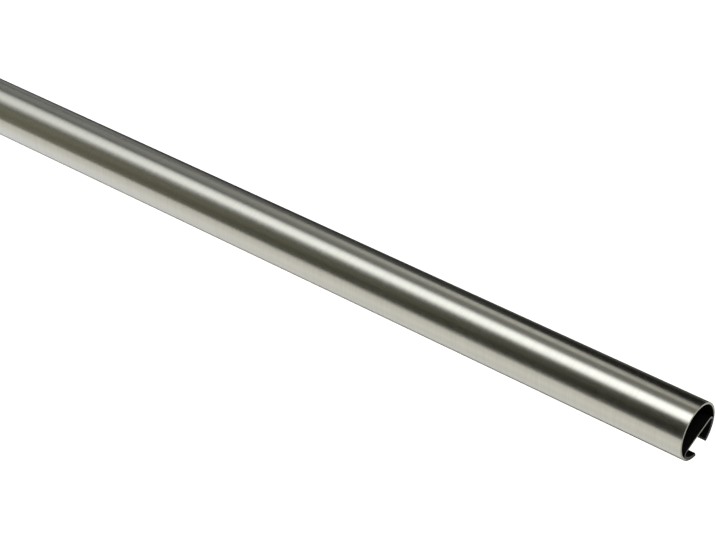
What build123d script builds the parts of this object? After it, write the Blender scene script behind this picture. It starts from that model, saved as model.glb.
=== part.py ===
from build123d import *
from math import sqrt
import os

# Curtain rod with an inner track, in millimetres: a slotted round tube, the sheet-metal liner
# that forms the track inside it, swivel gliders running in the liner and a stop near each end.
# X runs along the rod and Z is up, so the slot opens downwards.
# The origin is on the tube's axis, halfway along the rod.

# Driving dimensions of the tube
rod_length = 1000.0
tube_radius = 10.0  # outside, for 20 mm brackets and finials
tube_wall = 0.75
slot_width = 6.0
edge_break = 0.12  # the sawn ends are deburred

# Driving dimensions of the track liner
liner_wall = 0.6
liner_gap = 0.05  # between the liner's legs and the tube
web_top = -1.7  # height of the web's upper face
web_bend = 1.0  # inside radius of the bends from the web into the legs

# Driving dimensions of the glider bodies
glider_count = 10
glider_length = 12.0
glider_corner = 3.0  # in plan
glider_side = 1.7  # height of a runner's upright sides
glider_gap = 0.3  # between a runner and the liner's legs
glider_headroom = 2.2  # between a runner and the web
neck_length = 8.0
neck_play = 0.5  # on each side of the neck, in the slot
collar_length = 11.0
collar_width = 8.4
collar_corner = 2.5
collar_thickness = 1.2
collar_drop = 0.5  # below the lips of the slot
moulded_edge = 0.3

# Driving dimensions of the swivel eyes
stem_radius = 1.2
stem_play = 0.06
head_radius = 1.9
head_thickness = 1.0
head_play = 0.1
head_recess = 1.5  # depth of the pocket that the head turns in
shoulder_radius = 2.3
shoulder_thickness = 0.8
shoulder_drop = 0.3  # below the collar
ring_radius = 3.1
ring_hole = 1.6
ring_thickness = 2.0
ring_root = 0.5  # how far the ring runs into the shoulder
ring_edge = 0.35

# Driving dimensions of the end stops and their set screws
stop_inset = 18.0  # from the end of the rod to the stop
stop_length = 12.0
stop_width = 11.0
stop_corner = 2.0  # in plan
stop_gap = 0.3  # between the block and the liner's legs
stop_headroom = 0.25  # between the block and the web
foot_play = 0.5  # on each side of the foot, in the slot
foot_rise = 0.2  # of the foot's underside above the slot's outer edges
cast_edge = 0.3
screw_radius = 1.5
screw_play = 0.05
screw_length = 6.0
screw_gap = 0.02  # between the screw's tip and the web
screw_chamfer = 0.25
socket_across_flats = 1.5
socket_depth = 1.8

# Heights and widths that follow from the driving dimensions
tube_bore = tube_radius - tube_wall
liner_radius = tube_bore - liner_gap
channel_radius = liner_radius - liner_wall
web_underside = web_top - liner_wall
slot_edge = -sqrt(tube_radius**2 - (slot_width / 2) ** 2)
glider_top = web_underside - glider_headroom
runner_radius = channel_radius - glider_gap
runner_width = 2 * sqrt(runner_radius**2 - (glider_top - glider_side) ** 2)
pocket_floor = glider_top - head_recess
collar_top = slot_edge - collar_drop
collar_underside = collar_top - collar_thickness
shoulder_top = collar_underside - shoulder_drop
shoulder_underside = shoulder_top - shoulder_thickness
ring_centre = shoulder_underside + ring_root - ring_radius
head_underside = pocket_floor + head_play
stop_top = web_underside - stop_headroom
stop_underside = slot_edge + foot_rise
screw_top = web_underside - screw_gap
screw_underside = screw_top - screw_length
past_the_tube = 2 * tube_radius  # longer than anything across the section

# Places along the rod
left_end = Plane.YZ.offset(-rod_length / 2)
stop_place = rod_length / 2 - stop_inset - stop_length / 2
free_track = 2 * stop_place - stop_length
glider_pitch = free_track / glider_count
glider_places = [glider_pitch * (n + 0.5) - free_track / 2 for n in range(glider_count)]

# The tube: a ring in section with the slot cut through its underside, sawn square at both ends
with BuildPart() as rod_tube:
    with BuildSketch(left_end):
        Circle(tube_radius)
        Circle(tube_bore, mode=Mode.SUBTRACT)
        with Locations((0, -past_the_tube / 2)):
            Rectangle(slot_width, past_the_tube, mode=Mode.SUBTRACT)
    extrude(amount=rod_length)
    chamfer(rod_tube.edges().filter_by(GeomType.CIRCLE), edge_break)

# Free section of the channel: round below, flat under the web, with the bends' inside radius
with BuildSketch(left_end) as channel_section:
    Circle(channel_radius)
    with Locations((0, web_underside + past_the_tube / 2)):
        Rectangle(past_the_tube, past_the_tube, mode=Mode.SUBTRACT)
    fillet(channel_section.vertices(), web_bend)

# The liner: a flat web whose sides bend down and follow the tube round to the slot. It runs
# the whole length of the tube and ends flush with it
with BuildPart() as track_liner:
    with BuildSketch(left_end) as liner_section:
        Circle(liner_radius)
        with Locations((0, web_top + past_the_tube / 2)):
            Rectangle(past_the_tube, past_the_tube, mode=Mode.SUBTRACT)
        fillet(liner_section.vertices(), web_bend + liner_wall)
        add(channel_section.sketch_local, mode=Mode.SUBTRACT)
        with Locations((0, web_underside - past_the_tube / 2)):
            Rectangle(slot_width, past_the_tube, mode=Mode.SUBTRACT)
    extrude(amount=rod_length)

# One glider body: a runner that lies in the channel, a neck through the slot and a collar
# outside, drilled through for the swivel eye, with a pocket on top for the eye's head
with BuildPart() as glider_body:
    with BuildSketch(Plane.YZ):
        Circle(runner_radius)
        with Locations((0, glider_top + past_the_tube / 2)):
            Rectangle(past_the_tube, past_the_tube, mode=Mode.SUBTRACT)
    extrude(amount=glider_length / 2, both=True)
    with BuildSketch(Plane.XY.offset(glider_top)):
        RectangleRounded(glider_length, runner_width, glider_corner)
    extrude(amount=-past_the_tube, mode=Mode.INTERSECT)
    fillet(glider_body.faces().sort_by(Axis.Z)[-1].edges(), moulded_edge)
    with BuildSketch(Plane.XY.offset(collar_underside)):
        SlotOverall(neck_length, slot_width - 2 * neck_play)
    extrude(amount=pocket_floor - collar_underside)
    with BuildSketch(Plane.XY.offset(collar_underside)):
        RectangleRounded(collar_length, collar_width, collar_corner)
    extrude(amount=collar_thickness)
    fillet(glider_body.faces().sort_by(Axis.Z)[0].edges(), moulded_edge)
    with Locations((0, 0, glider_top)):
        CounterBoreHole(stem_radius + stem_play, head_radius + head_play, head_recess)

# One swivel eye: a ring for the curtain hook under a shoulder, with a headed stem above
with BuildPart() as glider_eye:
    with BuildSketch(Plane.XZ):
        with Locations((0, ring_centre)):
            Circle(ring_radius)
    extrude(amount=ring_thickness / 2, both=True)
    fillet(glider_eye.edges().filter_by(GeomType.CIRCLE), ring_edge)
    with BuildSketch(Plane.XY.offset(shoulder_underside)):
        Circle(shoulder_radius)
    extrude(amount=shoulder_thickness)
    with BuildSketch(Plane.XY.offset(shoulder_top)):
        Circle(stem_radius)
    extrude(amount=head_underside - shoulder_top)
    with BuildSketch(Plane.XY.offset(head_underside)):
        Circle(head_radius)
    extrude(amount=head_thickness)
    fillet(glider_eye.faces().sort_by(Axis.Z)[-1].edges(), moulded_edge)
    with BuildSketch(Plane.XZ):
        with Locations((0, ring_centre)):
            Circle(ring_hole)
    extrude(amount=ring_thickness, both=True, mode=Mode.SUBTRACT)

# One end stop: a block that fills the channel, with a foot in the slot and a threaded hole
with BuildPart() as end_stop:
    with BuildSketch(Plane.YZ):
        Circle(channel_radius - stop_gap)
        with Locations((0, stop_top + past_the_tube / 2)):
            Rectangle(past_the_tube, past_the_tube, mode=Mode.SUBTRACT)
    extrude(amount=stop_length / 2, both=True)
    with BuildSketch(Plane.XY.offset(stop_top)):
        RectangleRounded(stop_length, stop_width, stop_corner)
    extrude(amount=-past_the_tube, mode=Mode.INTERSECT)
    chamfer(end_stop.faces().sort_by(Axis.Z)[-1].edges(), cast_edge)
    with BuildSketch(Plane.XY.offset(stop_underside)):
        RectangleRounded(stop_length, slot_width - 2 * foot_play, stop_corner)
    extrude(amount=stop_top - stop_headroom - stop_underside)
    with Locations((0, 0, stop_top)):
        Hole(screw_radius + screw_play)

# One set screw: turned from below through the slot, it clamps its stop against the web
with BuildPart() as stop_screw:
    with BuildSketch(Plane.XY.offset(screw_underside)):
        Circle(screw_radius)
    extrude(amount=screw_length)
    chamfer(stop_screw.edges().filter_by(GeomType.CIRCLE), screw_chamfer)
    with BuildSketch(Plane.XY.offset(screw_underside)):
        RegularPolygon(socket_across_flats / 2, 6, major_radius=False)
    extrude(amount=socket_depth, mode=Mode.SUBTRACT)


def place_along_rod(piece, place, name):
    """Write a copy of one piece, moved along the rod to its place."""
    with BuildPart() as placed:
        with Locations((place, 0, 0)):
            add(piece.part)
    placed.part.label = name
    export_step(placed.part, f"parts/{name}.step")


os.makedirs("parts", exist_ok=True)
place_along_rod(rod_tube, 0, "rod_tube")
place_along_rod(track_liner, 0, "track_liner")
for number, place in enumerate(glider_places, start=1):
    place_along_rod(glider_body, place, f"glider_body_{number:02d}")
    place_along_rod(glider_eye, place, f"glider_eye_{number:02d}")
for side, place in (("left", -stop_place), ("right", stop_place)):
    place_along_rod(end_stop, place, f"end_stop_{side}")
    place_along_rod(stop_screw, place, f"stop_screw_{side}")
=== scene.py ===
from math import asin, atan2, cos, pi, radians, sin, sqrt

import bmesh
import bpy
from mathutils import Matrix, Vector


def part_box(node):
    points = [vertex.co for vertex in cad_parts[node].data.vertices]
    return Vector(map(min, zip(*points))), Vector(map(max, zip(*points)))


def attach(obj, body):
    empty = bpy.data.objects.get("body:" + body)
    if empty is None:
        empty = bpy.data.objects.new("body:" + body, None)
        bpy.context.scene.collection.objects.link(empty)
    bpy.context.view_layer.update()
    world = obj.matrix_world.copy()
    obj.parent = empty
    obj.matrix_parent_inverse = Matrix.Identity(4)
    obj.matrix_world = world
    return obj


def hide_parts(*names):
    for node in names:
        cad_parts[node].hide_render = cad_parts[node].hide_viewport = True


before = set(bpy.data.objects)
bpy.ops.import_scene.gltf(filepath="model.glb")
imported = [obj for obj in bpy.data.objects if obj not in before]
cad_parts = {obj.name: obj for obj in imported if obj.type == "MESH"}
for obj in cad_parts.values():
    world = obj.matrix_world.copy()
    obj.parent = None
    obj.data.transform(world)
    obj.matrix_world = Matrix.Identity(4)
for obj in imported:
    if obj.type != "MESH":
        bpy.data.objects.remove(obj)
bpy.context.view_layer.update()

# The camera. In the photograph the rod lies rolled on its table, with its slot turned to the
# back. Here the slot points straight down, so the view is worked out for the rolled rod and
# then turned back about the rod's axis with it.
mm = 0.001
rod_low, rod_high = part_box("rod_tube")
rod_end = Vector((rod_high.x, 0, 0))
frame_width, frame_height = 716, 540
rod_end_pixel = (697.8, 431.7)
focal_pixels = 2024
end_distance = 639 * mm
view_yaw = radians(-39.2)
view_pitch = radians(34.8)
rod_roll = radians(21)

forward = Vector((sin(view_yaw) * cos(view_pitch), cos(view_yaw) * cos(view_pitch), -sin(view_pitch)))
right = forward.cross(Vector((0, 0, 1))).normalized()
up = right.cross(forward)
aim = (
    forward
    + right * ((rod_end_pixel[0] - frame_width / 2) / focal_pixels)
    + up * ((frame_height / 2 - rod_end_pixel[1]) / focal_pixels)
)
from_rod_end = Matrix.Translation(-aim.normalized() * end_distance)
turned_to_view = Matrix((right, up, -forward)).transposed().to_4x4()
rolled_back = Matrix.Translation(rod_end) @ Matrix.Rotation(-rod_roll, 4, "X")

camera_data = bpy.data.cameras.new("camera")
camera_data.sensor_width = 36
camera_data.lens = camera_data.sensor_width * focal_pixels / frame_width
camera_data.clip_start = 0.01
camera_data.clip_end = 100
camera = bpy.data.objects.new("camera", camera_data)
camera.matrix_world = rolled_back @ from_rod_end @ turned_to_view
bpy.context.scene.collection.objects.link(camera)
bpy.context.scene.camera = camera
bpy.context.scene.view_settings.view_transform = "Standard"


# The table. A plain white top, well below the rod as the rod hangs in its brackets. It is
# matt, and the camera and the metal both see it white, with the rod's soft shadow on it.
def linear(code):
    """The linear RGBA of an sRGB colour code such as #c8c2b4."""
    parts = [int(code[i : i + 2], 16) / 255 for i in (1, 3, 5)]
    return [p / 12.92 if p <= 0.04045 else ((p + 0.055) / 1.055) ** 2.4 for p in parts] + [1]


def add_node(tree, kind, settings=None, **links):
    """Add a node: settings are its properties, links its sockets' values or sources."""
    node = tree.nodes.new("ShaderNode" + kind)
    for name, value in (settings or {}).items():
        setattr(node, name, value)
    for name, value in links.items():
        number = name.strip("_")
        socket = node.inputs[int(number) if number.isdigit() else name.replace("_", " ")]
        if isinstance(value, bpy.types.NodeSocket):
            tree.links.new(value, socket)
        else:
            socket.default_value = value
    return node


def new_material(name):
    """An empty material, with its node tree and the socket that takes its surface."""
    made = bpy.data.materials.new(name)
    made.use_nodes = True
    tree = made.node_tree
    tree.nodes.clear()
    return made, tree, add_node(tree, "OutputMaterial").inputs["Surface"]


def new_object(name, bm, *materials):
    """An object at the origin from a finished bmesh, smooth but for its sharp edges."""
    sharp = radians(12)
    for face in bm.faces:
        face.smooth = True
    for edge in bm.edges:
        edge.smooth = edge.calc_face_angle(0) < sharp
    mesh = bpy.data.meshes.new(name)
    bm.to_mesh(mesh)
    bm.free()
    for made in materials:
        mesh.materials.append(made)
    piece = bpy.data.objects.new(name, mesh)
    bpy.context.scene.collection.objects.link(piece)
    return piece


def seen_rays(tree):
    """1 for the rays that show a surface: to the camera, in metal and through clear things."""
    path = add_node(tree, "LightPath")
    shown = add_node(tree, "Math", {"operation": "MAXIMUM"}, _0=path.outputs["Is Camera Ray"],
                     _1=path.outputs["Is Glossy Ray"])
    return add_node(tree, "Math", {"operation": "MAXIMUM"}, _0=shown.outputs[0],
                    _1=path.outputs["Is Transmission Ray"]).outputs[0]


table_height = -0.3
table_half = 30.0
table_glow = 0.6
table_bounce = 0.25
table_paint, tree, surface = new_material("white_table_top")
matt = add_node(tree, "BsdfDiffuse", Color=linear("#f2f1ee"))
shown_glow = add_node(tree, "MapRange", Value=seen_rays(tree), To_Min=table_bounce, To_Max=table_glow)
glow = add_node(tree, "Emission", Color=linear("#ffffff"), Strength=shown_glow.outputs[0])
both = add_node(tree, "AddShader", _0=matt.outputs[0], _1=glow.outputs[0])
tree.links.new(both.outputs[0], surface)
bm = bmesh.new()
bmesh.ops.create_grid(bm, x_segments=1, y_segments=1, size=table_half,
                      matrix=Matrix.Translation((0, 0, table_height)))
table = new_object("table_top", bm, table_paint)


# The lamp and the room. One long softbox above the rod, in a white room that lights softly
# from all round. The metal mirrors the panels below instead of the lamp itself.
def round_the_rod(angle, distance, x):
    """A place at that angle round the rod, from the camera's side (0) over the top (90)."""
    return Vector((x, -cos(radians(angle)) * distance, sin(radians(angle)) * distance))


room_fill = 0.45
world = bpy.data.worlds.new("white_room")
bpy.context.scene.world = world
world.use_nodes = True
tree = world.node_tree
tree.nodes.clear()
fill = add_node(tree, "MapRange", Value=seen_rays(tree), To_Min=room_fill, To_Max=1.0)
room = add_node(tree, "Background", Color=linear("#ffffff"), Strength=fill.outputs[0])
tree.links.new(room.outputs[0], add_node(tree, "OutputWorld").inputs["Surface"])

lamp_angle = 100
lamp_distance = 1.0
lamp_x = 0.125
lamp_length = 1.75
lamp_width = 0.75
lamp_radiance = 1.4
lamp_data = bpy.data.lights.new("softbox_lamp", "AREA")
lamp_data.shape = "RECTANGLE"
lamp_data.size = lamp_length
lamp_data.size_y = lamp_width
lamp_data.energy = lamp_radiance * pi * lamp_length * lamp_width
lamp = bpy.data.objects.new("softbox_lamp", lamp_data)
lamp.location = round_the_rod(lamp_angle, lamp_distance, lamp_x)
lamp.rotation_euler = (radians(lamp_angle - 90), 0, 0)
lamp.visible_glossy = False
bpy.context.scene.collection.objects.link(lamp)

# The panels that the metal mirrors. Studios stand them round shiny things, out of the
# picture, to give them light and dark bands. These stand edge to edge and askew to the rod,
# so the angle of each edge and each glow are given at four places from far off to near.
panel_places = (-0.9, -0.3, -0.03, 0.15)
panel_start = -4.0
panel_end = 1.6
table_card_end = 0.55  # this one lies on the table and ends just past the rod
panel_distance = 1.0
panel_steps = 48
clear_of_table = 0.01
first_edge = (4.5, 15.2, 8.3, 10.5)
panels = (  # name, angles of its second edge, glow, colours far off and near, shares that fade
    ("dark_card", (46, 46, 46, 46), (0.41, 0.06, 0.025, 0), ("#f1f0d6", "#f0f1d8"), (0, 0)),
    ("front_card", (64.5, 85.3, 74.9, 69.3), (0.43, 0.12, 0.135, 0), ("#f1f0d6", "#f0f1d8"), (0, 0)),
    ("softbox", (146, 133.5, 121, 119), (0.82, 1.78, 2.3, 2.8), ("#f6f9ff", "#f6f9ff"), (0.27, 0.37)),
    ("grey_card", (182.5, 163, 138, 130.5), (0.32, 0.34, 0.34, 0.24), ("#f4f7ff", "#fbfaf2"), (0, 0)),
    ("white_strip", (200, 171.5, 167.5, 149.5), (0, 0.2, 1.7, 0.45), ("#f4f7ff", "#fbfaf2"), (0.25, 0.25)),
    ("back_card", (201, 201, 201, 201), (0.75, 0.16, 0, 0.01), ("#f4f7ff", "#fbfaf2"), (0, 0)),
    ("table_card", (278, 278, 278, 278), (0.65, 0.05, 0.03, 0.1), ("#f4f7ff", "#fbfaf2"), (0, 0)),
    ("pale_card", (330, 330, 330, 330), (2, 1.43, 1.25, 1.08), ("#e7eeff", "#f6f7f9"), (0, 0)),
)


def mirrored_panel(name, low_edge, high_edge, glows, colours, fading):
    """A panel between two edges, seen by the metal only, with its glow kept in its mesh."""
    end = table_card_end if name == "table_card" else panel_end
    last = len(panel_places) - 1
    stations = [(panel_start, 0), *((x, part) for part, x in enumerate(panel_places)), (end, last)]
    columns = len(stations) - 1
    far_colour, near_colour = (Vector(linear(colour)) for colour in colours)
    grid_half = 0.5
    bm = bmesh.new()
    bmesh.ops.create_grid(bm, x_segments=columns, y_segments=panel_steps, size=grid_half)
    glow_layer = bm.verts.layers.float_color.new("glow")
    for vert in bm.verts:
        x, part = stations[round((vert.co.x + grid_half) * columns)]
        share = vert.co.y + grid_half
        angle = low_edge[part] + (high_edge[part] - low_edge[part]) * share
        glow = far_colour.lerp(near_colour, part / last) * glows[part]
        for from_edge, fading_share in ((share, fading[0]), (1 - share, fading[1])):
            if from_edge < fading_share:
                inwards = from_edge / fading_share
                glow *= inwards**2 * (3 - 2 * inwards)
        vert[glow_layer] = glow
        drop = -sin(radians(angle))
        to_table = (-table_height - clear_of_table) / drop if drop > 0 else panel_distance
        vert.co = round_the_rod(angle, min(panel_distance, to_table), x)

    paint, tree, surface = new_material(name)
    kept = add_node(tree, "Attribute", {"attribute_name": "glow"})
    glow = add_node(tree, "Emission", Color=kept.outputs["Color"], Strength=1.0)
    tree.links.new(glow.outputs[0], surface)
    panel = new_object(name, bm, paint)
    panel.visible_camera = False
    panel.visible_diffuse = False
    panel.visible_shadow = False
    panel.visible_transmission = False


low_edge = first_edge
for name, high_edge, glows, colours, fading in panels:
    mirrored_panel(name, low_edge, high_edge, glows, colours, fading)
    low_edge = high_edge

# The tube. Steel strip rolled to a tube that stays open along its underside, nickel plated
# and brushed round and round, then sawn square. The saw's burr is brushed off both ends.
tube_radius = rod_high.z
tube_wall = 0.75 * mm
slot_half = 3.0 * mm
end_break = 0.1 * mm
tube_steps = 240


def points_of(made):
    """The points among the things that an operator made."""
    return [thing for thing in made if isinstance(thing, bmesh.types.BMVert)]


def start_at_lip(bm, radius):
    """The section's first point at that radius, on the slot's edge, and its angle from below."""
    lip = asin(slot_half / radius)
    return bm.verts.new((rod_low.x, slot_half, -radius * cos(lip))), lip


def bend_round(bm, point, centre, angle, steps):
    """Draw a point of the section round a centre, and return the point where it ends."""
    drawn = bmesh.ops.spin(bm, geom=[point], cent=(rod_low.x, *centre), axis=(1, 0, 0),
                           angle=angle, steps=steps)
    return points_of(drawn["geom_last"])[0]


def draw_out(bm, rounding):
    """Draw a flat section out to the rod's whole length, and round all its corners."""
    corner_angle = radians(50)
    drawn = bmesh.ops.extrude_face_region(bm, geom=bm.faces[:], use_keep_orig=True)
    bmesh.ops.translate(bm, vec=(rod_high.x - rod_low.x, 0, 0), verts=points_of(drawn["geom"]))
    bmesh.ops.recalc_face_normals(bm, faces=bm.faces)
    corners = [edge for edge in bm.edges if edge.calc_face_angle(0) > corner_angle]
    bmesh.ops.bevel(bm, geom=corners, offset=rounding, segments=3, profile=0.5,
                    affect="EDGES", material=-1)


def mark_surfaces(bm, outside_radius):
    """Material 0 outside, 1 inside and 2 on the sawn ends, and a UV map in metres."""
    facing_end = 0.5
    facing_in = -0.2
    uv = bm.loops.layers.uv.new("along_rod")
    for face in bm.faces:
        middle = face.calc_center_median()
        outward = Vector((0, middle.y, middle.z)).normalized()
        if abs(face.normal.x) > facing_end:
            face.material_index = 2
        elif face.normal.dot(outward) < facing_in or middle.yz.length < outside_radius - end_break:
            face.material_index = 1
        for loop in face.loops:
            turned = atan2(loop.vert.co.y, loop.vert.co.z)
            loop[uv].uv = (loop.vert.co.x, turned * outside_radius)


def streaks(tree, spacing, length, detail):
    """Noise drawn out into lines that run round the rod: their spacing and length in metres."""
    place = add_node(tree, "TexCoord")
    drawn = add_node(tree, "Mapping", Vector=place.outputs["Object"],
                     Scale=(1 / spacing, 1 / length, 1 / length))
    return add_node(tree, "TexNoise", Vector=drawn.outputs[0], Scale=1.0, Detail=detail,
                    Roughness=0.6).outputs["Fac"]


# Brushed nickel plate: a warm grey metal whose fine grooves smear its reflections along the
# rod and keep them crisp round it. The grooves are drawn coarser than the real 0.05 mm ones.
groove_spacing = 0.3 * mm
groove_length = 14 * mm
groove_depth = 0.01 * mm
drift_spacing = 1.5 * mm  # between stretches brushed a little rougher
drift_length = 30 * mm
brushed_nickel, tree, surface = new_material("brushed_nickel_plate")
fine = streaks(tree, groove_spacing, groove_length, 3)
coarse = streaks(tree, drift_spacing, drift_length, 2)
tone = add_node(tree, "MixRGB", Fac=fine, Color1=linear("#b0aea2"), Color2=linear("#c5c3b7"))
rough = add_node(tree, "MapRange", Value=coarse, From_Min=0.3, From_Max=0.7, To_Min=0.28, To_Max=0.32)
grooves = add_node(tree, "Bump", Height=fine, Strength=0.08, Distance=groove_depth)
tangent = add_node(tree, "Tangent", {"direction_type": "UV_MAP", "uv_map": "along_rod"})
metal = add_node(tree, "BsdfPrincipled", Base_Color=tone.outputs[0], Metallic=1.0,
                 Roughness=rough.outputs[0], Anisotropic=0.77, Normal=grooves.outputs[0],
                 Tangent=tangent.outputs[0])
tree.links.new(metal.outputs[0], surface)

# Bare steel inside: painted near black as the shade in the tube's hollow, with faint patches.
inside_patch_length = 4 * mm
inside_patch_width = 3 * mm
painted_dark_inside, tree, surface = new_material("painted_dark_inside_steel")
patches = streaks(tree, inside_patch_length, inside_patch_width, 3)
tone = add_node(tree, "MixRGB", Fac=patches, Color1=linear("#1c1b1a"), Color2=linear("#2a2826"))
rough = add_node(tree, "MapRange", Value=patches, To_Min=0.5, To_Max=0.65)
metal = add_node(tree, "BsdfPrincipled", Base_Color=tone.outputs[0], Metallic=1.0,
                 Roughness=rough.outputs[0])
tree.links.new(metal.outputs[0], surface)


# Sawn steel: the cut ends, with the saw's marks. The cut is dull grey, with painted shade that
# turns it nearly black towards the slot and to one side.
def sawn(name, lit_tone, *shade_ramps):
    """Cut steel with painted shade: each ramp's lit side, where full shade ends and lit begins."""
    mark_depth = 2 * mm
    mark_spacing = 0.3 * mm
    made, tree, surface = new_material(name)
    place = add_node(tree, "TexCoord").outputs["Object"]
    # Each ramp below multiplies in its painted shade: 1 where the cut stays lit, 0 where shaded.
    lit_share = 1.0
    for lit_side, shade_ends, lit_begins in shade_ramps:
        across = add_node(tree, "VectorMath", {"operation": "DOT_PRODUCT"}, _0=place, _1=lit_side)
        free = add_node(tree, "MapRange", {"interpolation_type": "SMOOTHSTEP"},
                        Value=across.outputs["Value"], From_Min=shade_ends, From_Max=lit_begins)
        lit_share = add_node(tree, "Math", {"operation": "MULTIPLY"}, _0=lit_share, _1=free.outputs[0]).outputs[0]
    # Painted shade: the cut goes from its lit tone to near black where the ramps shade it.
    cut = add_node(tree, "MixRGB", Fac=lit_share, Color1=linear("#1c1b1a"), Color2=linear(lit_tone))
    scratches = streaks(tree, mark_depth, mark_spacing, 2)
    marks = add_node(tree, "MapRange", Value=scratches, To_Min=0.85, To_Max=1.1)
    tone = add_node(tree, "MixRGB", {"blend_type": "MULTIPLY"}, Fac=1.0, Color1=cut.outputs[0],
                    Color2=marks.outputs[0])
    metal = add_node(tree, "BsdfPrincipled", Base_Color=tone.outputs[0], Metallic=1.0, Roughness=0.45)
    tree.links.new(metal.outputs[0], surface)
    return made


# Painted shade on the tube's cut end: lit at the top and the -Y side, near black towards the slot.
shade_towards_slot = ((0, -0.2, 0.98), -5.5 * mm, -0.5 * mm)
sawn_tube = sawn("sawn_tube_end", "#96938a", shade_towards_slot)

bm = bmesh.new()
for radius in (tube_radius - tube_wall, tube_radius):
    point, lip = start_at_lip(bm, radius)
    bend_round(bm, point, (0, 0), 2 * pi - 2 * lip, tube_steps)
bmesh.ops.bridge_loops(bm, edges=bm.edges[:])
draw_out(bm, end_break)
mark_surfaces(bm, tube_radius)
tube = new_object("brushed_tube", bm, brushed_nickel, painted_dark_inside, sawn_tube)
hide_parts("rod_tube")
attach(tube, "rod")

# The track liner. A second, thinner steel strip, folded to a flat web with two legs that
# follow the tube's wall down to the slot, and slid into the tube. Its faces are painted near
# black, as painted shade inside the tube.
liner_gap = 0.05 * mm
liner_radius = tube_radius - tube_wall - liner_gap
liner_wall = 0.6 * mm
liner_edge = 0.1 * mm
web_top = -1.7 * mm
bend_outside = 1.6 * mm
bend_steps = 16
leg_steps = 30
bend_z = web_top - bend_outside
bend_y = sqrt((liner_radius - bend_outside) ** 2 - bend_z**2)
bend_start = atan2(bend_y, -bend_z)
weld = 0.001 * mm

bm = bmesh.new()
for radius in (liner_radius - liner_wall, liner_radius):
    point, lip = start_at_lip(bm, radius)
    leg_top = bend_round(bm, point, (0, 0), bend_start - lip, leg_steps)
    web_side = bend_round(bm, leg_top, (bend_y, bend_z), pi - bend_start, bend_steps)
    web_middle = bmesh.ops.extrude_vert_indiv(bm, verts=[web_side])["verts"][0]
    web_middle.co.y = 0
bmesh.ops.bridge_loops(bm, edges=bm.edges[:])
half = bm.verts[:] + bm.edges[:] + bm.faces[:]
bmesh.ops.mirror(bm, geom=half, axis="Y", merge_dist=weld)
draw_out(bm, liner_edge)
mark_surfaces(bm, liner_radius)
# Painted shade on the liner's cut end: the web lit, the legs near black, darker towards -Y.
shade_below_web = ((0, 0, 1), -3.6 * mm, -2 * mm)
shade_towards_minus_y = ((0, 1, 0), -9 * mm, -2 * mm)
sawn_liner = sawn("sawn_liner_end", "#87857d", shade_below_web, shade_towards_minus_y)
liner = new_object("folded_liner", bm, painted_dark_inside, painted_dark_inside, sawn_liner)
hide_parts("track_liner")
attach(liner, "rod")


# The glider bodies. Injection-moulded nylon runners, a little waxy and pale grey, each with
# its neck through the slot and its collar below. They are cut free at the sprue and tumbled.
def finish_nodes(names, made):
    """Give CAD pieces their real finish."""
    for name in names:
        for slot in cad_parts[name].material_slots:
            slot.material = made


def moulded(name, low_tone, high_tone, roughness, ior):
    """Moulded plastic: a faint cloudiness, and the fine spark texture of the mould."""
    cloud_size = 2.5 * mm
    grain_size = 0.25 * mm
    grain_depth = 0.02 * mm
    roughness_play = 0.06
    made, tree, surface = new_material(name)
    place = add_node(tree, "TexCoord")
    cloud = add_node(tree, "TexNoise", Vector=place.outputs["Object"], Scale=1 / cloud_size, Detail=2)
    grain = add_node(tree, "TexNoise", Vector=place.outputs["Object"], Scale=1 / grain_size, Detail=2)
    tone = add_node(tree, "MixRGB", Fac=cloud.outputs["Fac"], Color1=linear(low_tone),
                    Color2=linear(high_tone))
    rough = add_node(tree, "MapRange", Value=grain.outputs["Fac"], To_Min=roughness - roughness_play,
                     To_Max=roughness + roughness_play)
    relief = add_node(tree, "Bump", Height=grain.outputs["Fac"], Strength=0.15, Distance=grain_depth)
    plastic = add_node(tree, "BsdfPrincipled", Base_Color=tone.outputs[0], IOR=ior,
                       Roughness=rough.outputs[0], Normal=relief.outputs[0])
    tree.links.new(plastic.outputs[0], surface)
    return made


glider_names = sorted(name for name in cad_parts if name.startswith("glider_body"))
finish_nodes(glider_names, moulded("moulded_nylon", "#d3d1ca", "#dedcd5", 0.42, 1.53))

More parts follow.
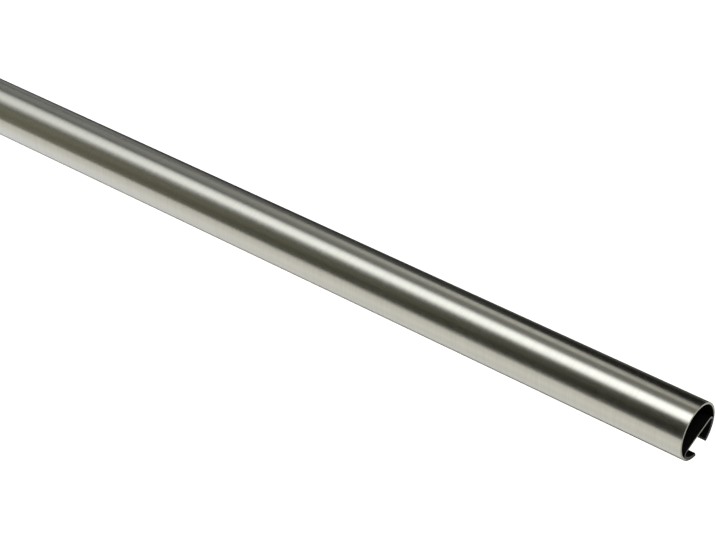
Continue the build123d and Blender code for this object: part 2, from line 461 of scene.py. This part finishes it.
# The swivel eyes. Moulded acetal, harder and glossier than the gliders, snapped into them by
# the head of each stem and free to turn.
eye_names = sorted(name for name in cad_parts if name.startswith("glider_eye"))
finish_nodes(eye_names, moulded("moulded_acetal", "#dcdad3", "#e6e4dd", 0.32, 1.48))

# The end stops. Zinc blocks, die cast and tumbled, so they are grey with softened edges and a
# fine orange-peel skin.
skin_grain = 0.4 * mm
skin_depth = 0.03 * mm
cast_patch = 3 * mm
cast_zinc, tree, surface = new_material("tumbled_zinc_casting")
place = add_node(tree, "TexCoord")
skin = add_node(tree, "TexNoise", Vector=place.outputs["Object"], Scale=1 / skin_grain, Detail=3)
patches = add_node(tree, "TexNoise", Vector=place.outputs["Object"], Scale=1 / cast_patch, Detail=2)
tone = add_node(tree, "MixRGB", Fac=patches.outputs["Fac"], Color1=linear("#96948f"),
                Color2=linear("#aeaca7"))
rough = add_node(tree, "MapRange", Value=skin.outputs["Fac"], To_Min=0.36, To_Max=0.52)
relief = add_node(tree, "Bump", Height=skin.outputs["Fac"], Strength=0.3, Distance=skin_depth)
metal = add_node(tree, "BsdfPrincipled", Base_Color=tone.outputs[0], Metallic=1.0,
                 Roughness=rough.outputs[0], Normal=relief.outputs[0])
tree.links.new(metal.outputs[0], surface)
finish_nodes(["end_stop_left", "end_stop_right"], cast_zinc)

# The set screws. Hardened steel with a black oxide finish, thin enough to let a little steel
# show through where the hex key and the thread rub.
rubbed_patch = 0.6 * mm
black_oxide, tree, surface = new_material("black_oxide_steel")
place = add_node(tree, "TexCoord")
rubbed = add_node(tree, "TexNoise", Vector=place.outputs["Object"], Scale=1 / rubbed_patch, Detail=3)
worn = add_node(tree, "MapRange", Value=rubbed.outputs["Fac"], From_Min=0.55, From_Max=0.75)
tone = add_node(tree, "MixRGB", Fac=worn.outputs[0], Color1=linear("#232225"), Color2=linear("#4a494b"))
rough = add_node(tree, "MapRange", Value=rubbed.outputs["Fac"], To_Min=0.35, To_Max=0.5)
metal = add_node(tree, "BsdfPrincipled", Base_Color=tone.outputs[0], Metallic=1.0,
                 Roughness=rough.outputs[0])
tree.links.new(metal.outputs[0], surface)
finish_nodes(["stop_screw_left", "stop_screw_right"], black_oxide)
